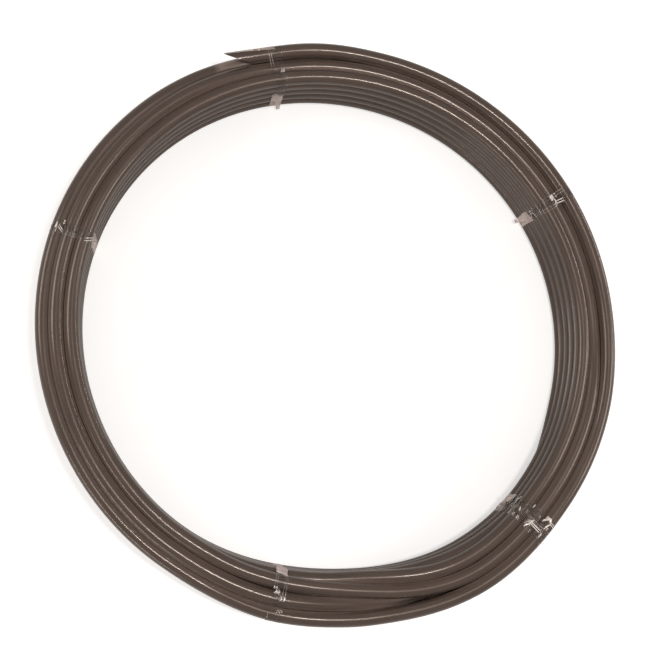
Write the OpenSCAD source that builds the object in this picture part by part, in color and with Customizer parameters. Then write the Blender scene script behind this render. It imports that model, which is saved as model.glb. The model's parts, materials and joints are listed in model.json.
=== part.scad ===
// Coil of black polyethylene water pipe, lying flat, bound with bands of clear tape.
// The coil's axis is +Z. The origin is on the axis, level with the underside of the tape.
// Angles are measured about the axis, anticlockwise from +X, looking down on the coil.

/* [Pipe] */
// Outside diameter of the pipe
pipe_od = 32; // [20:1:50]
// Wall thickness of the pipe
pipe_wall = 3; // [1.6:0.1:4.6]

/* [Coil] */
// Clear diameter inside the coil
coil_bore = 1105; // [800:5:1600]
// Depth of the flat that the winding drum leaves along the inner turns
drum_flat = 0.5; // [0.1:0.1:1]
// Turns on top of each other in the inner layer
turns_high = 5; // [3:1:8]
// Gap between one turn and the turn above it
turn_gap = 0.6; // [0.4:0.1:4]
// Radial slack between nested layers
layer_slack = 1.9; // [0.8:0.1:6]

/* [Outer end of the pipe] */
// Angle where the last turn has climbed on top of the outer layer
climb_angle = 272; // [272:1:300]
// Distance along the coil that it climbs over
climb_run = 105; // [90:5:110]
// Length of the straight end of the pipe
tail_length = 90; // [40:5:200]
// Length of curved pipe between the top band and the straight end
tail_lead = 2; // [1:1:40]

/* [Tape] */
// Width of the clear tape
tape_width = 25; // [12:1:36]
// Thickness of a band, several laps of tape
tape_thickness = 0.4; // [0.2:0.1:1]
// Clearance between the pipe and a band
tape_clearance = 0.2; // [0.1:0.1:1]
// Gap between the two bands that sit side by side
tape_pair_gap = 2; // [1:1:20]

/* [Hidden] */

// Angle of the middle of each band
right_band = 31;
top_band = 100.5;
left_band = 158;
bottom_band = 259.6;
lower_right_band = 318;

pipe_r = pipe_od / 2;
turn_pitch = pipe_od + turn_gap;
layer_pitch = pipe_od * sqrt(3) / 2 + layer_slack;
inner_r = coil_bore / 2 + pipe_r - drum_flat;
layers = 3;
outer_layer = layers - 1;
outer_r = inner_r + outer_layer * layer_pitch;
coil_base = tape_thickness + tape_clearance;

// The climb is one bend, from the last turn down into the middle of the turn below it.
climb_inward = outer_r - sqrt(outer_r ^ 2 - climb_run ^ 2);
climb_across = norm([climb_inward, turn_pitch]);
climb_bend = (climb_run ^ 2 + climb_across ^ 2) / (2 * climb_across);

// Angle that a length along the outer layer takes up
function angle_of(length) = 2 * asin(length / 2 / outer_r);

band_span = angle_of(tape_width);
// Angle between the middles of the two bands that sit side by side
pair_step = angle_of(tape_width + tape_pair_gap);
tail_angle = top_band + band_span / 2 + angle_of(tail_lead);
last_turn_span = 360 + tail_angle - climb_angle;
// The fill under the last turn stops this angle short of its end.
fill_margin = 0.5;
// Angle where the turned section closes on itself, away from the last turn
seam_angle = 225;
pipe_black = [0.13, 0.12, 0.12];
tape_clear = [0.86, 0.84, 0.83, 0.45];
ring_sides = 96;
pipe_sides = 48;
wrap_steps = 8;

// Every second layer is nested half a turn higher and has one turn less.
function turns_in(layer) = turns_high - layer % 2;
// The outer layer's top turn only goes part of the way round.
function full_turns_in(layer) = turns_in(layer) - (layer == outer_layer ? 1 : 0);
function centre(layer, turn) =
    [inner_r + layer * layer_pitch,
     coil_base + pipe_r + (turn + (layer % 2) / 2) * turn_pitch];

last_turn = centre(outer_layer, full_turns_in(outer_layer));
turn_below = centre(outer_layer, full_turns_in(outer_layer) - 1);
turn_beside = centre(outer_layer - 1, full_turns_in(outer_layer - 1) - 1);

// Centres round the edge of the full turns' section, anticlockwise from the inner bottom one
edge_centres = [
    for (layer = [0:outer_layer]) centre(layer, 0),
    for (turn = [1:full_turns_in(outer_layer) - 1]) centre(outer_layer, turn),
    for (layer = [outer_layer - 1:-1:0]) centre(layer, full_turns_in(layer) - 1),
    for (turn = [turns_high - 2:-1:1]) centre(0, turn)
];

// Section of all the full turns, filled between their centres, with the drum's flats
module full_turns_section() {
    difference() {
        union() {
            for (layer = [0:outer_layer])
                for (turn = [0:full_turns_in(layer) - 1])
                    translate(centre(layer, turn)) circle(r = pipe_r, $fn = pipe_sides);
            polygon(edge_centres);
        }
        square([coil_bore / 2, centre(0, turns_high)[1]]);
    }
}

// Turns a section about the coil's axis between two angles.
module sweep(from, span) {
    rotate([0, 0, from]) rotate_extrude(angle = span, $fn = ring_sides) children();
}

// Places its children at the end of the last turn, with +Z along the pipe and out of it.
module at_tail() {
    rotate([0, 0, tail_angle])
        translate([outer_r, 0, last_turn[1]])
            rotate([-90, 0, 0]) children();
}

module climb() {
    rotate([0, 0, climb_angle])
        translate([outer_r, 0, last_turn[1]])
            rotate([0, atan2(climb_inward, turn_pitch), 0])
                translate([0, 0, -climb_bend])
                    rotate(a = 180, v = [1, 0, 1])
                        rotate_extrude(angle = asin(climb_run / climb_bend), $fn = ring_sides)
                            translate([climb_bend, 0]) circle(r = pipe_r, $fn = pipe_sides);
}

module pipe() {
    color(pipe_black) difference() {
        union() {
            sweep(seam_angle, 360) full_turns_section();
            sweep(climb_angle, last_turn_span)
                translate(last_turn) circle(r = pipe_r, $fn = pipe_sides);
            sweep(climb_angle, last_turn_span - fill_margin)
                polygon([turn_beside, turn_below, last_turn]);
            climb();
            at_tail() cylinder(r = pipe_r, h = tail_length, $fn = pipe_sides);
        }
        at_tail() cylinder(r = pipe_r - pipe_wall, h = tail_length + 1, $fn = pipe_sides);
    }
}

function heading(direction) = atan2(direction[1], direction[0]);

// Points round a convex outline at a distance from the centres of the turns at its corners
function wrap(corners, distance) = [
    for (i = [0:len(corners) - 1])
        let (before = corners[(i + len(corners) - 1) % len(corners)],
             after = corners[(i + 1) % len(corners)],
             arrive = heading(corners[i] - before) - 90,
             turn = (heading(after - corners[i]) - 90 - arrive + 360) % 360)
            for (step = [0:wrap_steps])
                let (angle = arrive + turn * step / wrap_steps)
                    corners[i] + distance * [cos(angle), sin(angle)]
];

// Corner turns that a band wraps, with or without the last turn
function band_corners(with_last_turn) = [
    centre(0, 0),
    centre(outer_layer, 0),
    with_last_turn ? last_turn : turn_below,
    centre(0, turns_high - 1)
];

// One closed band of tape round the section, centred on an angle
module band(angle, with_last_turn = true) {
    corners = band_corners(with_last_turn);
    color(tape_clear)
        sweep(angle - band_span / 2, band_span)
            difference() {
                polygon(wrap(corners, pipe_r + tape_clearance + tape_thickness));
                polygon(wrap(corners, pipe_r + tape_clearance));
            }
}

module tape_right() { band(right_band); }
module tape_top() { band(top_band); }
module tape_left() { band(left_band, with_last_turn = false); }
module tape_bottom() { band(bottom_band, with_last_turn = false); }
module tape_lower_right() { band(lower_right_band - pair_step / 2); }
module tape_lower_right_second() { band(lower_right_band + pair_step / 2); }

pipe();
tape_right();
tape_top();
tape_left();
tape_bottom();
tape_lower_right();
tape_lower_right_second();
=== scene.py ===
# Dresses a coil of black polyethylene pipe: the wound pipe itself, its bands of clear tape, floor, lamps and camera.
import bpy
import json
import math
from mathutils import Matrix, Vector, noise


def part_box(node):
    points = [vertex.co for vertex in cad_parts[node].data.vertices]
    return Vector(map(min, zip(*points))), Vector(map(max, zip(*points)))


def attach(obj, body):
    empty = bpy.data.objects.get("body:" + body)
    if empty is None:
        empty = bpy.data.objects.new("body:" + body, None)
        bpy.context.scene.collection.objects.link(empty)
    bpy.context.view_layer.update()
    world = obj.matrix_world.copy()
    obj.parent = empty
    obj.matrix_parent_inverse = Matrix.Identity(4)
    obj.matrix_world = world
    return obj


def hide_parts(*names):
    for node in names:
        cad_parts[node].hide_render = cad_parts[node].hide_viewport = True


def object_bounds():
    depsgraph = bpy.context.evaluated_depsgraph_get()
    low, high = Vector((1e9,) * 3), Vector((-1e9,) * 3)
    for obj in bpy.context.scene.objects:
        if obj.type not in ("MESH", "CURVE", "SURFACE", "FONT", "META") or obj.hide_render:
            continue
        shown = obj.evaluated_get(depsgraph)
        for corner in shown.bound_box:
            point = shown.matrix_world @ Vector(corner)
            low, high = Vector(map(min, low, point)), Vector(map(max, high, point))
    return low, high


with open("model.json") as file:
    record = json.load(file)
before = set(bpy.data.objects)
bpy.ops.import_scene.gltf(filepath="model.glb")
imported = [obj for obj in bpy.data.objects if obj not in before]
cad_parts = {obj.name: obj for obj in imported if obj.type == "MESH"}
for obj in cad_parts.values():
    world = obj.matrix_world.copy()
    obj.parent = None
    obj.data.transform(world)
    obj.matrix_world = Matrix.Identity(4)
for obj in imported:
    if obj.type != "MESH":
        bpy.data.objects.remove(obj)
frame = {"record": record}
cadBox = [list(corner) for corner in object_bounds()]
pipeLow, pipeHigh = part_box("pipe")
mounts = {mount["name"]: mount for mount in frame["record"]["mounts"]}
openEnd = mounts["pipe_end"]
boreRadius = openEnd["dims"]["r_mm"] / 1000
boreLength = openEnd["dims"]["length_mm"] / 1000
endAxis = Vector(openEnd["axis"]).normalized()
tailStart = Vector(openEnd["pos_m"]) - endAxis * boreLength / 2
outerRadius = tailStart.xy.length
lastTurnEnd = math.degrees(math.atan2(tailStart.y, tailStart.x)) % 360
print("frame read: outer layer wound at", round(outerRadius, 4), "m")


def smooth(share):
    share = min(max(share, 0.0), 1.0)
    return share * share * (3 - 2 * share)


def window(angle, start, end, ease):
    # 1 between two angles, easing in and out over a few degrees
    return smooth((angle - start) / ease + 0.5) * smooth((end - angle) / ease + 0.5)


def startMaterial(name):
    # A new material with its shader, and short calls that add nodes and links to it
    material = bpy.data.materials.new(name)
    material.use_nodes = True
    nodes, links = material.node_tree.nodes, material.node_tree.links

    def add(kind, **settings):
        node = nodes.new("ShaderNode" + kind)
        for key, value in settings.items():
            if hasattr(node, key):
                setattr(node, key, value)
            else:
                node.inputs[key].default_value = value
        return node

    return material, nodes["Principled BSDF"], add, links.new


# The wound pipe
winding = {
    "pipeDiameter": 0.032,
    "clearance": 0.00003,      # kept between turns that touch
    "layerPitch": 0.0284,      # between the middles of nested layers
    "innerEnd": 319,           # angle where the pipe starts, at the bottom of the inner layer
    "stations": 225,           # rings of the mesh in one turn
    "sides": 32,
    "narrowing": 0.0263,       # how much less the coil measures across than along
    "narrowAt": 233,           # direction of its smaller width
    "spread": 0.0080,          # how much wider it is than its last turn, along its longer way
    "threeSided": 0.0030,      # how far its outline leans towards three gentle corners
    "cornerAt": 34,            # direction of one of them
    # Where the outer turns stand off over turns that cross under them: from, to, ease and how far
    "bulges": ((246, 268, 24, 0.011), (282, 310, 26, 0.0125)),
    "innerBulge": 1.0,         # share of it that the inner layer's top turn takes
    "tuck": 0.019,             # how far the pipe's start is tucked in behind the inner turns
    "tuckOver": 25,            # degrees until it has come out to its place
    "wander": 0.0011,          # how far a turn strays from its place
    "wanderGrain": 1.3,        # how quickly that changes round the coil
    "wanderRise": 115,         # degrees along the pipe after which it has changed as much again
    "middleLift": (114, 350, 22),  # the middle layer lies level with the inner one: from, to and ease
    "outerLift": (120, 260, 24),   # the outer layer is nested half a turn higher: from, to and ease
    "nest": 0.6,               # how much higher than the inner layer's the middle layer's turns lie elsewhere
    "freeOver": 22,            # degrees over which the last turn comes to its exact circle
    "settleRounds": 40,        # how often turns that overlap are pushed apart
    "evenOver": (7, 5, 3, 2),  # stations to each side over which the pushes are evened out
    "drawOver": 24,            # stations over which turns are drawn in to stay inside the box
    "paintedLightGap": 0.010,      # gap between turns over which the grooves get painted fill light
    "cutSlant": 66,            # how far the ends are cut away from square, in degrees
    "cutTurn": 32,             # how far the cut looks down instead of inward
    "endRings": 12,            # rings of the mesh that a cut and the bore behind it may need
    "boreRings": 4,            # rings of the mesh that the bore is deep behind the cut
    "smoothAngle": 20,         # edges sharper than this stay sharp
    "film": 0.0006,            # room for the tape outside the pipe
    # Where each kind of step to the next turn happens, in degrees about the axis
    "steps": {
        "outerUp": (242, 268),
        "middleToOuter": (254, 298),
        "middleDown": (272, 312),
        "innerToMiddle": (253, 290),
        "innerUp": (256, 298),
    },
}
pipeRadius = winding["pipeDiameter"] / 2
turnsHigh = 5
turnPitch = (pipeHigh.z - pipeLow.z - winding["pipeDiameter"]) / (turnsHigh - 1)
bottomTurn = pipeLow.z + pipeRadius
topTurn = pipeHigh.z - pipeRadius
# The turns in the order that they are wound, as layer and turn:
# up the inner layer, down the middle one, up the outer one
turnOrder = [(0, turn) for turn in range(turnsHigh)] + [(1, turn) for turn in (3, 2, 1, 0)]
turnOrder += [(2, turn) for turn in range(turnsHigh)]
stepDegrees = 360 / winding["stations"]
# Totals count degrees from the +X side before the pipe's first step up
firstTotal = winding["innerEnd"] - 360
finalTotal = 360 * (len(turnOrder) - 1) + lastTurnEnd


def outlineChange(angle):
    # Share by which the coil's outline differs from its last turn's circle
    across = (1 + math.cos(math.radians(2 * (angle - winding["narrowAt"])))) / 2
    corner = (1 + math.cos(math.radians(3 * (angle - winding["cornerAt"])))) / 2
    return winding["spread"] - winding["narrowing"] * across + winding["threeSided"] * (corner - 0.5)


def freeAt(total):
    # Falls to 0 where the last stretch lies exactly on its circle
    return smooth((finalTotal - total) / winding["freeOver"])


def boxReach(way):
    # Radius at which a turn's middle is as far out as the box of the object allows
    limits = [cadBox[1][axis] - pipeRadius - winding["film"] for axis in range(2)]
    return min(limit / max(abs(part), 0.001) for limit, part in zip(limits, way))


def slotPlace(slot, angle):
    # Radius and height of a turn's middle
    layer, turn = slot
    radius = outerRadius - (2 - layer) * winding["layerPitch"]
    level = turn
    if layer == 1:
        level += winding["nest"] + (1 - winding["nest"]) * window(angle, *winding["middleLift"])
    if layer == 2 and turn < turnsHigh - 1:
        level += 0.5 * window(angle, *winding["outerLift"])
    return Vector((radius, bottomTurn + level * turnPitch))


def bulgeShare(slot):
    # How much of a bulge the turn in this slot takes
    if slot[0] == 0:
        return winding["innerBulge"] if slot[1] == turnsHigh - 1 else 0.0
    return 1.0


def stepKind(slot, following):
    # Name of the step from one slot to the next
    if slot[0] == following[0]:
        return ("innerUp", "middleDown", "outerUp")[slot[0]]
    return ("innerToMiddle", "middleToOuter")[slot[0]]


def targetPlace(total):
    # Radius and height that the pipe makes for at this total angle, and how easily it is pushed from there
    count = math.floor(total / 360)
    angle = total - 360 * count
    slot = following = turnOrder[max(count, 0)]
    share = 0.0
    if 0 <= count < len(turnOrder) - 1:
        following = turnOrder[count + 1]
        start, end = winding["steps"][stepKind(slot, following)]
        share = (angle - start) / (end - start)
    out, up = smooth(share), smooth(share)
    if following[0] > slot[0]:
        # A step out to the next layer goes out first and changes its height late
        out, up = smooth(share * 1.15), smooth(share * 1.3 - 0.3)
    here, there = slotPlace(slot, angle), slotPlace(following, angle)
    place = Vector((here.x + (there.x - here.x) * out, here.y + (there.y - here.y) * up))
    turn = math.radians(angle)
    spot = Vector((math.cos(turn), math.sin(turn), total / winding["wanderRise"])) * winding["wanderGrain"]
    free = freeAt(total)
    place.x += free * winding["wander"] * noise.noise(spot)
    place.x += winding["tuck"] * (1 - smooth((total - firstTotal) / winding["tuckOver"]))
    layer = slot[0] + (following[0] - slot[0]) * out
    bulge = sum(far * window(angle, start, end, ease) for start, end, ease, far in winding["bulges"])
    place.x += bulge * (bulgeShare(slot) + (bulgeShare(following) - bulgeShare(slot)) * out)
    # The inner turns lie firm, and the outer ones are pushed more easily
    return place, (1 + 3 * layer) * free + 0.001


def settle(path, give, rounds):
    # Pushes the turns that pass each angle apart until none of them overlap
    reach = winding["pipeDiameter"] + winding["clearance"]
    for station in range(winding["stations"]):
        turns = range(station, len(path), winding["stations"])
        pairs = [(a, b) for a in turns for b in turns if a < b]
        for _ in range(rounds):
            moved = False
            for a, b in pairs:
                between = path[b] - path[a]
                gap = between.length
                if gap < reach:
                    moved = True
                    between *= (reach - gap) / gap / (give[a] + give[b])
                    path[a] -= between * give[a]
                    path[b] += between * give[b]
                    for k in (a, b):
                        path[k].y = min(max(path[k].y, bottomTurn), topTurn)
            if not moved:
                break


def ease(path, targets, give, spread):
    # Evens out along the pipe how far the turns were pushed from where they were heading
    pushed = [place - target for place, target in zip(path, targets)]
    for k, target in enumerate(targets):
        near = pushed[max(0, k - spread):k + spread + 1]
        path[k] = target + sum(near, Vector((0, 0))) / len(near) * min(give[k], 1)
        path[k].y = min(max(path[k].y, bottomTurn), topTurn)


def insideBox(points):
    # Draws the turns in together wherever the outermost one would stand out of the box of the object
    excess = [0.0] * winding["stations"]
    for k, point in enumerate(points):
        station = k % winding["stations"]
        excess[station] = max(excess[station], point.xy.length - boxReach(point.xy.normalized()))
    spread = winding["drawOver"]
    drawn = [max(excess[(k + j) % len(excess)] * smooth(1 - abs(j) / spread) for j in range(-spread, spread + 1))
             for k in range(len(excess))]
    for k, point in enumerate(points):
        inward = drawn[k % winding["stations"]] * freeAt(firstTotal + k * stepDegrees)
        point.xy -= point.xy.normalized() * inward
    return points


def windingPath():
    # Points along the middle of the pipe, from its inner end to the tip of its outer one
    count = int((finalTotal - firstTotal) / stepDegrees) + 1
    totals = [firstTotal + k * stepDegrees for k in range(count)]
    aims = [targetPlace(total) for total in totals]
    targets = [place for place, push in aims]
    give = [push for place, push in aims]
    path = [place.copy() for place in targets]
    for spread in winding["evenOver"]:
        settle(path, give, winding["settleRounds"])
        ease(path, targets, give, spread)
    settle(path, give, winding["settleRounds"])
    points = []
    for total, place in zip(totals, path):
        turn = math.radians(total)
        radius = place.x + freeAt(total) * outerRadius * outlineChange(total)
        points.append(Vector((radius * math.cos(turn), radius * math.sin(turn), place.y)))
    insideBox(points)
    # The straight end is cut slanting, half before and half past the end in the frame
    reach = boreLength + pipeRadius * math.tan(math.radians(winding["cutSlant"]))
    along = 0.0
    while along < reach:
        along = outerRadius * math.tan(math.radians(firstTotal + len(points) * stepDegrees - finalTotal))
        points.append(tailStart + endAxis * min(along, reach))
    return points


path = windingPath()


def selectOnly(item):
    # Deselects everything else, because an operator acts on all that is selected
    bpy.ops.object.select_all(action="DESELECT")
    item.select_set(True)
    bpy.context.view_layer.objects.active = item


def tubeAlong(points, radius, sides, name):
    # A round tube along the points, open at both ends, from a bevelled curve
    curve = bpy.data.curves.new(name, "CURVE")
    curve.dimensions = "3D"
    curve.twist_mode = "Z_UP"
    curve.bevel_depth = radius
    curve.bevel_resolution = sides // 2 - 2
    curve.use_fill_caps = False
    spline = curve.splines.new("POLY")
    spline.points.add(len(points) - 1)
    for point, place in zip(spline.points, points):
        point.co = (*place, 1)
    tube = bpy.data.objects.new(name, curve)
    bpy.context.scene.collection.objects.link(tube)
    selectOnly(tube)
    bpy.ops.object.convert(target="MESH")
    tube = bpy.context.view_layer.objects.active
    tube.name = name
    return tube


def markLength(tube, points, sides):
    # Every point of the mesh keeps its distance along the pipe and its place round it, for the material
    along = [0.0]
    for before, after in zip(points, points[1:]):
        along.append(along[-1] + (after - before).length)
    marks = tube.data.attributes.new("pipePlace", "FLOAT_VECTOR", "POINT")
    for index, mark in enumerate(marks.data):
        ring, side = divmod(index, sides)
        turn = 2 * math.pi * side / sides
        mark.vector = (along[ring], pipeRadius * math.cos(turn), pipeRadius * math.sin(turn))
    return along[-1]


def slantEnd(tube, points, atTail):
    # Cuts an end slanting with its tip on the outer side, and opens the bore. The points run back from the end.
    outward = (points[0] - points[1]).normalized()
    aside = Vector((points[0].x, points[0].y, 0))
    inward = -(aside - outward * aside.dot(outward)).normalized()
    turn = math.radians(winding["cutTurn"])
    inward = inward * math.cos(turn) - Vector((0, 0, math.sin(turn)))
    slant = math.radians(winding["cutSlant"])
    normal = outward * math.cos(slant) + inward * math.sin(slant)
    reach = pipeRadius * math.tan(slant)
    endReach = reach * 2.6     # length of pipe in which the cut is made
    middle, along = points[0], 0.0
    for before, after in zip(points, points[1:]):
        step = (after - before).length
        if along + step >= reach:
            middle = before.lerp(after, (reach - along) / step)
            break
        along += step
    outward = (before - after).normalized()
    selectOnly(tube)
    bpy.ops.object.mode_set(mode="EDIT")
    bpy.ops.mesh.select_mode(type="FACE")
    bpy.ops.mesh.select_all(action="DESELECT")
    bpy.ops.object.mode_set(mode="OBJECT")
    lengths = [mark.vector.x for mark in tube.data.attributes["pipePlace"].data]
    endLength = max(lengths) if atTail else 0.0
    for face in tube.data.polygons:
        face.select = all(abs(lengths[k] - endLength) < endReach for k in face.vertices)
    bpy.ops.object.mode_set(mode="EDIT")
    bpy.ops.mesh.bisect(plane_co=middle, plane_no=normal, clear_outer=True, use_fill=False)
    bpy.ops.mesh.select_mode(type="EDGE")
    bpy.ops.mesh.select_all(action="DESELECT")
    bpy.ops.object.mode_set(mode="OBJECT")
    lengths = [mark.vector.x for mark in tube.data.attributes["pipePlace"].data]
    nearCut = 0.0002
    onCut = [abs((vertex.co - middle).dot(normal)) < nearCut and abs(length - endLength) < endReach
             for vertex, length in zip(tube.data.vertices, lengths)]
    for edge in tube.data.edges:
        edge.select = onCut[edge.vertices[0]] and onCut[edge.vertices[1]]
    # The wall, then the bore a few rings deep, closed at its far end
    bpy.ops.object.mode_set(mode="EDIT")
    share = boreRadius / pipeRadius
    bpy.ops.mesh.extrude_edges_move()
    bpy.ops.transform.resize(value=(share,) * 3, center_override=middle)
    inside = [point for point in points if (point - middle).dot(outward) < 0][:winding["boreRings"]]
    for before, after in zip([middle] + inside, inside):
        bpy.ops.mesh.extrude_edges_move(TRANSFORM_OT_translate={"value": after - before})
    bpy.ops.mesh.edge_face_add()
    bpy.ops.mesh.select_all(action="SELECT")
    bpy.ops.mesh.normals_make_consistent(inside=False)
    bpy.ops.object.mode_set(mode="OBJECT")


def markPaintedGrooveLight(tube, points, sides):
    # Every point of the mesh keeps how close it is to the next turn, for the painted fill light that lightens the
    # shaded grooves
    marks = tube.data.attributes.new("paintedGrooveLight", "FLOAT", "POINT")
    depth = winding["paintedLightGap"]
    polar = [(point.xy.length, point.z) for point in points]
    values = []
    for ring in range(len(points)):
        near = [polar[k] for k in range(ring % winding["stations"], len(points), winding["stations"])
                if k != ring and math.dist(polar[k], polar[ring]) < winding["pipeDiameter"] + depth]
        for vertex in tube.data.vertices[ring * sides:(ring + 1) * sides]:
            spot = (vertex.co.xy.length, vertex.co.z)
            gap = min((math.dist(spot, other) for other in near), default=1.0) - pipeRadius
            values.append(smooth(1 - gap / depth))
    marks.data.foreach_set("value", values)


pipe = tubeAlong(path, pipeRadius, winding["sides"], "wound_pipe")
print("pipe wound:", round(markLength(pipe, path, winding["sides"]), 2), "m,",
      len(pipe.data.polygons), "faces")
markPaintedGrooveLight(pipe, path, winding["sides"])
slantEnd(pipe, path[::-1][:winding["endRings"]], True)
slantEnd(pipe, path[:winding["endRings"]], False)
selectOnly(pipe)
bpy.ops.object.shade_smooth_by_angle(angle=math.radians(winding["smoothAngle"]))
print("ends cut:", len(pipe.data.polygons), "faces")


# Clear tape
tape = {
    "width": 0.025,
    "around": 220,             # mesh steps round the bundle
    "across": 14,
    "lift": 0.00016,           # between the pipe and the film
    "film": 0.00010,
    "sink": 0.16,              # how far the film is pressed into the grooves between turns
    "crumple": 0.0016,         # how deep its creases are, where nothing is right under it
    "lapGap": 0.00022,         # between the first lap and the second
    "lapStart": 6,             # steps by which the second lap is short of a whole round
    "tipSteps": 16,            # steps before the second lap's end over which it comes loose
    "drift": 0.0016,           # how far a lap wanders to the side
    "driftGrain": 1.6,         # how quickly that changes on the way round
    "pinch": 0.12,             # share of its width that it is drawn together by in places
    "tipPinch": 0.6,           # and at the loose tip
    "reflectionTo": 264,            # where the painted pale reflection on the film's inner side ends on the way round, in degrees
    "reflectionSlant": 12,          # how far both its ends differ from one edge of the tape to the other
    "reflectionEase": (5, 12),      # degrees over which it begins and ends
    "outlineSteps": 48,        # steps round each turn that the film is stretched over
    "grainLength": 0.08,       # length on the material for one radian of the way round
    "smoothAngle": 25,         # edges sharper than this stay sharp
}
# The loose strip of film along the straight end of the pipe
strip = {
    "from": 0.012,             # distance from where the straight end begins
    "to": 0.119,
    "rows": 40,
    "columns": 6,
    "turn": 52,                # degrees up from the outer side to its middle, at its start
    "turnLess": 12,            # and how much less at its end
    "span": 44,                # degrees of the pipe that it covers at its start
    "spanLess": 22,            # and how much less at its end
    "wander": 5,               # degrees by which it strays from there
    "lift": 0.0006,            # off the pipe
    "ripple": 0.0005,
    # The strip is painted pale as a whole: a painted highlight along the outer upper side of the straight end, laid
    # on loose film
    "paintedReflection": 0.8,
}
# Each band: its seed, how strong the painted pale reflection is on the film's inner side, how far the second lap
# lies to the side, where the second lap ends on the way round in degrees from the outer side, how far its tip stands
# off, how many degrees the hand-laid film lies off its place, and where its painted pale reflection begins on the
# way round
bands = {
    "tape_right": {"seed": 3, "paleReflection": 1.0, "aside": 0.0065, "end": 234, "curl": 0.012, "off": -0.4,
                   "reflectionFrom": 176},
    "tape_top": {"seed": 11, "paleReflection": 0.95, "aside": -0.0060, "end": 236, "curl": 0.010, "off": 2.5,
                 "reflectionFrom": 174},
    "tape_left": {"seed": 19, "paleReflection": 0.9, "aside": 0.0060, "end": 190, "curl": 0.006, "off": 3.3,
                  "reflectionFrom": 128},
    "tape_bottom": {"seed": 27, "paleReflection": 0.95, "aside": -0.0055, "end": 170, "curl": 0.004, "off": -1.9,
                    "reflectionFrom": 122},
    "tape_lower_right": {"seed": 35, "paleReflection": 0.7, "aside": 0.0050, "end": 236, "curl": 0.010, "off": -2.1,
                         "reflectionFrom": 172},
    "tape_lower_right_second": {"seed": 43, "paleReflection": 1.0, "aside": -0.0045, "end": 186, "curl": 0.004, "off": -1.9,
                                "reflectionFrom": 166},
}


def turnsAt(angle):
    # Radius and height of every turn that passes this angle
    places = []
    total = firstTotal + (angle - firstTotal) % 360
    while total < firstTotal + (len(path) - 2) * stepDegrees:
        station = (total - firstTotal) / stepDegrees
        before = int(station)
        middle = path[before].lerp(path[before + 1], station - before)
        places.append((middle.xy.length, middle.z))
        total += 360
    return places


def hullOf(places, distance):
    # Outline of a film stretched round the turns, at a distance from their middles
    rim = [2 * math.pi * i / tape["outlineSteps"] for i in range(tape["outlineSteps"])]
    points = sorted((r + distance * math.cos(a), z + distance * math.sin(a)) for r, z in places for a in rim)

    def half(ordered):
        chain = []
        for point in ordered:
            while len(chain) > 1 and ((chain[-1][0] - chain[-2][0]) * (point[1] - chain[-2][1])
                                      - (chain[-1][1] - chain[-2][1]) * (point[0] - chain[-2][0])) <= 0:
                chain.pop()
            chain.append(point)
        return chain[:-1]

    return half(points) + half(points[::-1])


def reachTo(hull, centre, direction):
    # Distance from the centre to the hull in a direction
    dx, dz = direction
    for (ax, az), (bx, bz) in zip(hull, hull[1:] + hull[:1]):
        ex, ez = bx - ax, bz - az
        cross = dx * ez - dz * ex
        if abs(cross) < 1e-12:
            continue
        far = ((ax - centre[0]) * ez - (az - centre[1]) * ex) / cross
        along = ((ax - centre[0]) * dz - (az - centre[1]) * dx) / cross
        if far > 0 and -1e-9 <= along <= 1 + 1e-9:
            return far
    return 0.0


def coverOf(places, centre, direction, distance):
    # Distance from the centre at which a ray leaves the last turn that it passes through
    far = 0.0
    for r, z in places:
        dx, dz = r - centre[0], z - centre[1]
        along = dx * direction[0] + dz * direction[1]
        off = distance ** 2 - (dx * dx + dz * dz - along * along)
        if off > 0:
            far = max(far, along + math.sqrt(off))
    return far


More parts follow.
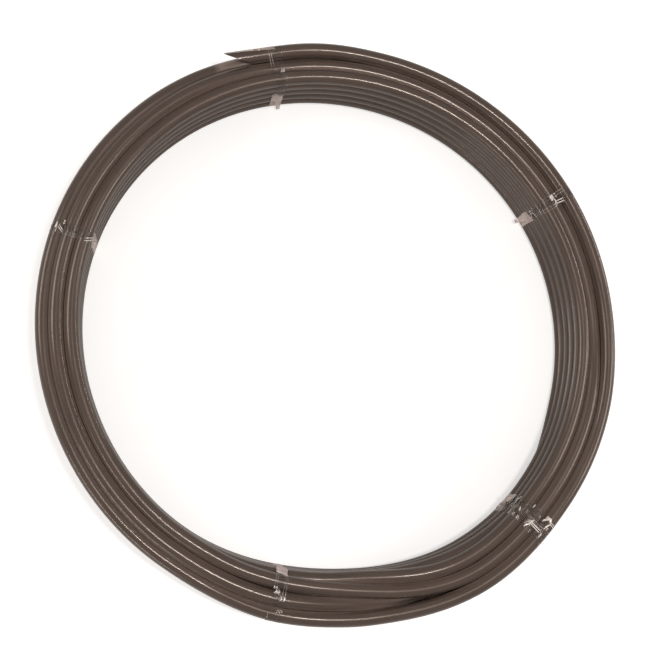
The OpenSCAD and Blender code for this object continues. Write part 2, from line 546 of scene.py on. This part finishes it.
def makeBand(node, seed, paleReflection, aside, end, curl, off, reflectionFrom):
    # Two laps of film round the bundle, the second one ending in a tip that stands off
    low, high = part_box(node)
    angle = (math.degrees(math.atan2((low.y + high.y) / 2, (low.x + high.x) / 2)) + off) % 360
    span = math.degrees(tape["width"] / outerRadius)
    around, across = tape["around"], tape["across"]
    ways = [2 * math.pi * i / around for i in range(around)]
    slices = []
    for j in range(across + 1):
        places = turnsAt(angle + (j / across - 0.5) * span)
        hull = hullOf(places, pipeRadius + tape["lift"])
        if j == 0:
            radii = [r for r, z in hull]
            centre = ((min(radii) + max(radii)) / 2, (pipeLow.z + pipeHigh.z) / 2)
        slices.append([(reachTo(hull, centre, (math.cos(way), math.sin(way))),
                        coverOf(places, centre, (math.cos(way), math.sin(way)), pipeRadius + tape["lift"]))
                       for way in ways])
    vertices, faces, marks = [], [], []
    endStep = int(end / 360 * around)
    slantSide = 1 if aside > 0 else -1
    begin, stop = tape["reflectionEase"]
    grain = tape["driftGrain"]
    for lap in range(2):
        lapSteps = range(endStep - around + tape["lapStart"], endStep + 1) if lap else range(around)
        base = len(vertices)
        for step in lapSteps:
            way = ways[step % around]
            spot = Vector((math.cos(way) * grain, math.sin(way) * grain, seed + lap * 7))
            left = (endStep - step) / tape["tipSteps"] if lap else 1
            loose = max(0.0, 1 - left)
            stand = curl * loose ** 2
            drift = tape["drift"] * noise.noise(spot) + aside * (lap - 0.5) * (1 + loose)
            drawn = tape["pinch"] * max(0.0, noise.noise(spot * 2.1 + Vector((5, 2, 0))))
            pinch = (1 - drawn) * (1 - tape["tipPinch"] * loose)
            for j in range(across + 1):
                share = j / across
                hullFar, coverFar = slices[j][step % around]
                room = max(0.0, hullFar - coverFar)
                place = Vector((share * 4.0, way * 7, seed * 1.7 + lap * 3))
                crease = max(0.0, 1 - abs(noise.noise(place)) * 5)
                fold = noise.noise(Vector((share * 9, way * 3.5, seed + lap)))
                sunk = min(room, room * tape["sink"] + tape["crumple"] * (0.55 + 0.45 * fold - 0.35 * crease))
                far = max(coverFar, hullFar - sunk) + lap * tape["lapGap"]
                turn = math.radians(angle) + ((share - 0.5) * pinch * tape["width"] + drift) / outerRadius
                r, z = centre[0] + math.cos(way) * far - stand, centre[1] + math.sin(way) * far
                vertices.append((r * math.cos(turn), r * math.sin(turn), z))
                # How much painted pale reflection the film takes here, strongest on the bundle's inner side
                past = math.degrees(way) % 360 - reflectionFrom - tape["reflectionSlant"] * (share - 0.5) * slantSide
                reflectedShare = smooth(past / begin) * smooth((tape["reflectionTo"] - reflectionFrom - past) / stop) * paleReflection
                marks.append((way * tape["grainLength"] + seed, share * tape["width"], reflectedShare))
        rows = len(lapSteps)
        for row in range(rows if lap == 0 else rows - 1):
            a, b = base + row * (across + 1), base + (row + 1) % rows * (across + 1)
            faces += [(a + j, a + j + 1, b + j + 1, b + j) for j in range(across)]
    if node == "tape_top":
        layStrip(vertices, faces, marks, seed)
    return finishFilm(node.replace("tape", "film"), vertices, faces, marks)


def layStrip(vertices, faces, marks, seed):
    # A loose end of the film, stuck along the outer side of the pipe's straight end
    rows, columns, base = strip["rows"], strip["columns"], len(vertices)
    up, outward = Vector((0, 0, 1)), endAxis.cross(Vector((0, 0, 1))).normalized()
    if outward.dot(tailStart) < 0:
        outward = -outward
    for i in range(rows):
        along = strip["from"] + i / (rows - 1) * (strip["to"] - strip["from"])
        middle = strip["turn"] - strip["turnLess"] * i / rows
        span = strip["span"] - strip["spanLess"] * i / rows
        for j in range(columns):
            wander = noise.noise(Vector((i * 0.25, j * 0.5, seed)))
            turn = math.radians(middle + (j / (columns - 1) - 0.5) * span + strip["wander"] * wander)
            far = pipeRadius + strip["lift"] + strip["ripple"] * wander
            vertices.append(tailStart + endAxis * along + (outward * math.cos(turn) + up * math.sin(turn)) * far)
            # The whole strip gets the painted pale reflection, a painted highlight along the pipe's outer upper side
            marks.append((seed + 3 + along, tape["width"] * (0.2 + 0.6 * j / columns), strip["paintedReflection"]))
    for i in range(rows - 1):
        a, b = base + i * columns, base + (i + 1) * columns
        faces += [(a + j, a + j + 1, b + j + 1, b + j) for j in range(columns - 1)]


def finishFilm(name, vertices, faces, marks):
    # Gives the laps their thickness and their smooth shading
    mesh = bpy.data.meshes.new(name)
    mesh.from_pydata(vertices, [], faces)
    film = bpy.data.objects.new(name, mesh)
    bpy.context.scene.collection.objects.link(film)
    place = mesh.attributes.new("filmPlace", "FLOAT_VECTOR", "POINT")
    for mark, value in zip(place.data, marks):
        mark.vector = value
    selectOnly(film)
    bpy.ops.object.mode_set(mode="EDIT")
    bpy.ops.mesh.select_all(action="SELECT")
    bpy.ops.mesh.normals_make_consistent(inside=False)
    bpy.ops.object.mode_set(mode="OBJECT")
    solid = film.modifiers.new("film", "SOLIDIFY")
    solid.thickness = tape["film"]
    solid.offset = 1
    bpy.ops.object.modifier_apply(modifier="film")
    bpy.ops.object.shade_smooth_by_angle(angle=math.radians(tape["smoothAngle"]))
    return film


films = [(makeBand(node, **values), node) for node, values in bands.items()]
print("bands of tape:", len(films))


# Materials
def noiseIn(add, link, place, scale, **settings):
    # A noise texture whose grain is stretched by a scale in each direction
    mapping = add("Mapping", Scale=scale)
    texture = add("TexNoise", Scale=1.0, **settings)
    link(place, mapping.inputs["Vector"])
    link(mapping.outputs[0], texture.inputs["Vector"])
    return texture.outputs["Fac"]


def ramp(add, link, value, low, high, start, end):
    # The value turned from one range into another, kept inside it
    node = add("MapRange")
    for name, number in (("From Min", low), ("From Max", high), ("To Min", start), ("To Max", end)):
        node.inputs[name].default_value = number
    link(value, node.inputs["Value"])
    return node.outputs["Result"]


# How fine each pattern is, in each direction: along the pipe and twice across it,
# or round the bundle and across the tape
plastic = {
    "lines": (1.2, 700, 700),
    "lineStrength": 0.2,
    "lineDepth": 0.0002,
    "dust": (9, 60, 60),
    "wear": (2.2, 18, 18),
    "dark": (0.045, 0.031, 0.025, 1),
    "dusty": (0.080, 0.056, 0.046, 1),
    # Painted fill light: a pale colour laid into the shaded grooves between turns
    "paintedGrooveLight": (0.24, 0.185, 0.16, 1),
    "paintedGrooveLightShare": 0.8,        # how much of the painted light's colour shows in the tightest groove
    "roughness": (0.22, 0.34),
    "specularTint": (1.0, 0.84, 0.74, 1),
    "skin": 0.35,              # share of the smooth skin that the hot die leaves
    "skinRoughness": 0.13,
    "ior": 1.5,
}
filmLook = {
    # Painted glints: pale colour and opacity on thin lines, on specks and along the tape's edges
    "glintLines": (30, 24, 0),
    "glintLineWidth": (0.012, 0.028),
    "sparks": (210, 190, 0),
    "sparkFrom": (0.93, 0.95),      # only the brightest of the cells get a painted glint
    # Painted pale reflection of the floor on the film's inner side: its grain and how opaque it is
    "reflectionGrain": (70, 90, 1),
    "reflectionAlpha": (0.62, 0.88),
    "ripples": (150, 120, 0),
    "rippleStrength": 0.6,
    "rippleDepth": 0.002,
    # Each kind of painted glint shows in patches: how fine they are, and where in the noise they start and are full
    "glintLinePatches": (19, 0.49, 0.56),
    "edgePatches": (22, 0.49, 0.60),
    "sparkPatches": (60, 0.48, 0.56),
    "clear": (0.10, 0.08, 0.07, 1),
    # Colour of the painted pale reflection
    "paintedReflection": (0.56, 0.46, 0.43, 1),
    # Colour of the painted glints
    "glint": (0.90, 0.82, 0.77, 1),
    "clearAlpha": 0.05,
    "glintAlpha": 0.8,
    "edgeGlint": (0.0013, 0.0007),  # from the edge of the tape: where the painted light along it starts and is full
    "edgeStrength": 0.6,
    "roughness": 0.12,
    "ior": 1.5,
}


def polyethylene():
    # Extruded black pipe: fine lines along it, painted fill light that lightens the shaded grooves, rubbed and
    # duller places
    material, shader, add, link = startMaterial("blackPolyethylene")
    place = add("Attribute", attribute_name="pipePlace").outputs["Vector"]
    # Fine lines that the die drew along the pipe: long in the first direction, thin in the others
    lines = noiseIn(add, link, place, plastic["lines"], Detail=3.0, Roughness=0.6)
    dust = noiseIn(add, link, place, plastic["dust"], Detail=6.0, Roughness=0.65)
    wear = noiseIn(add, link, place, plastic["wear"], Detail=4.0, Roughness=0.55)
    colour = add("ValToRGB")
    colour.color_ramp.elements[0].position = 0.3
    colour.color_ramp.elements[0].color = plastic["dark"]
    colour.color_ramp.elements[1].position = 0.8
    colour.color_ramp.elements[1].color = plastic["dusty"]
    link(dust, colour.inputs["Fac"])
    # Painted fill light: the grooves are painted paler the tighter and more shaded they are
    grooveLightMix = add("Mix", data_type="RGBA")
    grooveLightMix.inputs[7].default_value = plastic["paintedGrooveLight"]
    paintedGrooveLight = add("Attribute", attribute_name="paintedGrooveLight").outputs["Fac"]
    link(ramp(add, link, paintedGrooveLight, 0.0, 1.0, 0.0, plastic["paintedGrooveLightShare"]), grooveLightMix.inputs[0])
    link(colour.outputs["Color"], grooveLightMix.inputs[6])
    link(grooveLightMix.outputs[2], shader.inputs["Base Color"])
    link(ramp(add, link, wear, 0.3, 0.7, *plastic["roughness"]), shader.inputs["Roughness"])
    bump = add("Bump", Strength=plastic["lineStrength"], Distance=plastic["lineDepth"])
    link(lines, bump.inputs["Height"])
    link(bump.outputs["Normal"], shader.inputs["Normal"])
    shader.inputs["IOR"].default_value = plastic["ior"]
    shader.inputs["Specular Tint"].default_value = plastic["specularTint"]
    shader.inputs["Coat Weight"].default_value = plastic["skin"]
    shader.inputs["Coat Roughness"].default_value = plastic["skinRoughness"]
    return material


def clearFilm():
    # Clear film that darkens with the pipe under it, with painted glints along its edges, on a few lines and on
    # specks, and a painted pale reflection of the floor on its inner side
    material, shader, add, link = startMaterial("clearTape")
    place = add("Attribute", attribute_name="filmPlace").outputs["Vector"]
    split = add("SeparateXYZ")
    link(place, split.inputs["Vector"])

    def combine(operation, first, second):
        node = add("Math", operation=operation)
        for socket, value in zip(node.inputs, (first, second)):
            if isinstance(value, (int, float)):
                socket.default_value = value
            else:
                link(value, socket)
        return node.outputs[0]

    def cells(feature, scale):
        mapping = add("Mapping", Scale=scale)
        link(place, mapping.inputs["Vector"])
        texture = add("TexVoronoi", feature=feature, Scale=1.0)
        link(mapping.outputs[0], texture.inputs["Vector"])
        return texture

    def patches(scale, low, high):
        return ramp(add, link, noiseIn(add, link, place, (scale, scale * 1.4, 1), Detail=2.0), low, high, 0.0, 1.0)

    # Painted glints on thin lines, along the edges and on specks
    glintLines = cells("DISTANCE_TO_EDGE", filmLook["glintLines"]).outputs["Distance"]
    lines = ramp(add, link, glintLines, *filmLook["glintLineWidth"], 1.0, 0.0)
    offMiddle = combine("ABSOLUTE", combine("SUBTRACT", split.outputs["Y"], tape["width"] / 2), 0)
    edgeStart, edgeFull = (tape["width"] / 2 - inset for inset in filmLook["edgeGlint"])
    edges = ramp(add, link, offMiddle, edgeStart, edgeFull, 0.0, filmLook["edgeStrength"])
    sparks = add("SeparateColor")
    link(cells("F1", filmLook["sparks"]).outputs["Color"], sparks.inputs[0])
    spark = ramp(add, link, sparks.outputs[0], *filmLook["sparkFrom"], 0.0, 1.0)
    glint = combine("MAXIMUM", combine("MULTIPLY", lines, patches(*filmLook["glintLinePatches"])),
                    combine("MULTIPLY", edges, patches(*filmLook["edgePatches"])))
    glint = combine("MAXIMUM", glint, combine("MULTIPLY", spark, patches(*filmLook["sparkPatches"])))
    # Painted pale reflection on the inner side, patchy in how opaque it is
    reflectionNoise = noiseIn(add, link, place, filmLook["reflectionGrain"])
    paintedReflection = combine("MULTIPLY", split.outputs["Z"], ramp(add, link, reflectionNoise, 0.35, 0.65, *filmLook["reflectionAlpha"]))
    alpha = combine("MAXIMUM", combine("MULTIPLY", glint, filmLook["glintAlpha"]), paintedReflection)
    link(combine("MAXIMUM", alpha, filmLook["clearAlpha"]), shader.inputs["Alpha"])

    def blend(factor, first, second):
        node = add("Mix", data_type="RGBA")
        link(factor, node.inputs[0])
        for socket, colour in ((node.inputs[6], first), (node.inputs[7], second)):
            if isinstance(colour, tuple):
                socket.default_value = colour
            else:
                link(colour, socket)
        return node.outputs[2]

    tint = blend(split.outputs["Z"], filmLook["clear"], filmLook["paintedReflection"])
    link(blend(glint, tint, filmLook["glint"]), shader.inputs["Base Color"])
    bump = add("Bump", Strength=filmLook["rippleStrength"], Distance=filmLook["rippleDepth"])
    link(cells("F1", filmLook["ripples"]).outputs["Distance"], bump.inputs["Height"])
    link(bump.outputs["Normal"], shader.inputs["Normal"])
    shader.inputs["Roughness"].default_value = filmLook["roughness"]
    shader.inputs["IOR"].default_value = filmLook["ior"]
    return material


pipe.data.materials.append(polyethylene())
filmMaterial = clearFilm()
for film, node in films:
    film.data.materials.append(filmMaterial)
print("materials made")


# Floor, lamps and camera
stage = {
    "floorSize": 14.0,
    "floorColour": (0.80, 0.80, 0.80, 1),
    "floorRoughness": 0.9,
    "lampColour": (1.0, 0.94, 0.88),
    "worldColour": (1.0, 0.97, 0.94, 1),
    "glow": 0.45,              # what the camera sees of the floor beyond the light that falls on it
    "ambient": 0.50,           # light from all round
    "distance": 2.3,           # from the coil's upper face to the camera
    "tilt": 11.5,              # of the view away from the coil's axis
    "from": 218,               # direction that the camera leans towards
    "focal": 58.2,
    "aimAside": (-0.0216, -0.0069),  # what it looks at, from the coil's axis
}


def backdropWhite(material, shader, add, link, strength):
    # What the camera sees of the floor is white, and light falls on it as on any floor
    light = add("LightPath")
    seen = add("Math", operation="MAXIMUM")
    link(light.outputs["Is Camera Ray"], seen.inputs[0])
    link(light.outputs["Is Transmission Ray"], seen.inputs[1])
    amount = add("Math", operation="MULTIPLY")
    amount.inputs[1].default_value = strength
    glow = add("Emission", Color=(1, 1, 1, 1))
    both = add("AddShader")
    link(seen.outputs[0], amount.inputs[0])
    link(amount.outputs[0], glow.inputs["Strength"])
    link(shader.outputs[0], both.inputs[0])
    link(glow.outputs[0], both.inputs[1])
    link(both.outputs[0], material.node_tree.nodes["Material Output"].inputs["Surface"])


bpy.ops.object.select_all(action="DESELECT")
bpy.ops.mesh.primitive_plane_add(size=stage["floorSize"], location=(0, 0, 0))
floor = bpy.context.view_layer.objects.active
floor.name = "floor"
floorMaterial, floorShader, addNode, linkNodes = startMaterial("paleFloor")
floorShader.inputs["Base Color"].default_value = stage["floorColour"]
floorShader.inputs["Roughness"].default_value = stage["floorRoughness"]
backdropWhite(floorMaterial, floorShader, addNode, linkNodes, stage["glow"])
floor.data.materials.append(floorMaterial)

world = bpy.data.worlds.new("studio")
bpy.context.scene.world = world
world.use_nodes = True
worldNodes, worldLinks = world.node_tree.nodes, world.node_tree.links
background = worldNodes["Background"]
background.inputs["Color"].default_value = stage["worldColour"]
background.inputs["Strength"].default_value = stage["ambient"]
# Above the floor's far edge the camera sees white, which adds no light
whiteSky = worldNodes.new("ShaderNodeBackground")
whiteSky.inputs["Color"].default_value = (1, 1, 1, 1)
skyRays = worldNodes.new("ShaderNodeLightPath")
skyMix = worldNodes.new("ShaderNodeMixShader")
worldLinks.new(skyRays.outputs["Is Camera Ray"], skyMix.inputs[0])
worldLinks.new(background.outputs[0], skyMix.inputs[1])
worldLinks.new(whiteSky.outputs[0], skyMix.inputs[2])
worldLinks.new(skyMix.outputs[0], worldNodes["World Output"].inputs["Surface"])

# Each lamp: its direction, lean away from overhead, distance, size, power and shift along its length
lamps = {
    "keyStrip": (250, 2, 4.0, (0.6, 0.10), 42, 0.40),
    "softSide": (165, 52, 4.0, (1.6, 1.3), 34, 0),
    "softLow": (352, 52, 4.0, (1.6, 1.3), 34, 0),
    "lowStrip": (222, 74, 4.0, (2.4, 0.22), 24, 0),
    "lowFar": (15, 74, 4.0, (2.0, 0.22), 22, 0),
}


def addLamp(name, azimuth, lean, distance, size, power, shift):
    # A rectangular lamp that looks at the coil's middle
    a, t = math.radians(azimuth), math.radians(lean)
    way = Vector((math.sin(t) * math.cos(a), math.sin(t) * math.sin(a), math.cos(t)))
    light = bpy.data.lights.new(name, "AREA")
    light.shape = "RECTANGLE"
    light.size, light.size_y = size
    light.energy = power
    light.color = stage["lampColour"]
    lamp = bpy.data.objects.new(name, light)
    bpy.context.scene.collection.objects.link(lamp)
    side = Vector((-math.sin(a), math.cos(a), 0))
    turn = Matrix((side, way.cross(side), way)).transposed()
    lamp.matrix_world = Matrix.Translation(way * distance + side * shift) @ turn.to_4x4()


for name, values in lamps.items():
    addLamp(name, *values)

lean, aside = math.radians(stage["tilt"]), math.radians(stage["from"])
target = Vector((*stage["aimAside"], pipeHigh.z))
away = Vector((math.sin(lean) * math.cos(aside), math.sin(lean) * math.sin(aside), math.cos(lean)))
right = Vector((0, 1, 0)).cross(away).normalized()
cameraData = bpy.data.cameras.new("camera")
cameraData.lens = stage["focal"]
camera = bpy.data.objects.new("camera", cameraData)
bpy.context.scene.collection.objects.link(camera)
camera.matrix_world = Matrix.Translation(target + away * stage["distance"]) @ Matrix(
    (right, away.cross(right), away)).transposed().to_4x4()
bpy.context.scene.camera = camera
bpy.context.scene.view_settings.view_transform = "Standard"
print("floor, lamps and camera placed")

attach(pipe, "root")
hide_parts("pipe")
for film, node in films:
    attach(film, "root")
    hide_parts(node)
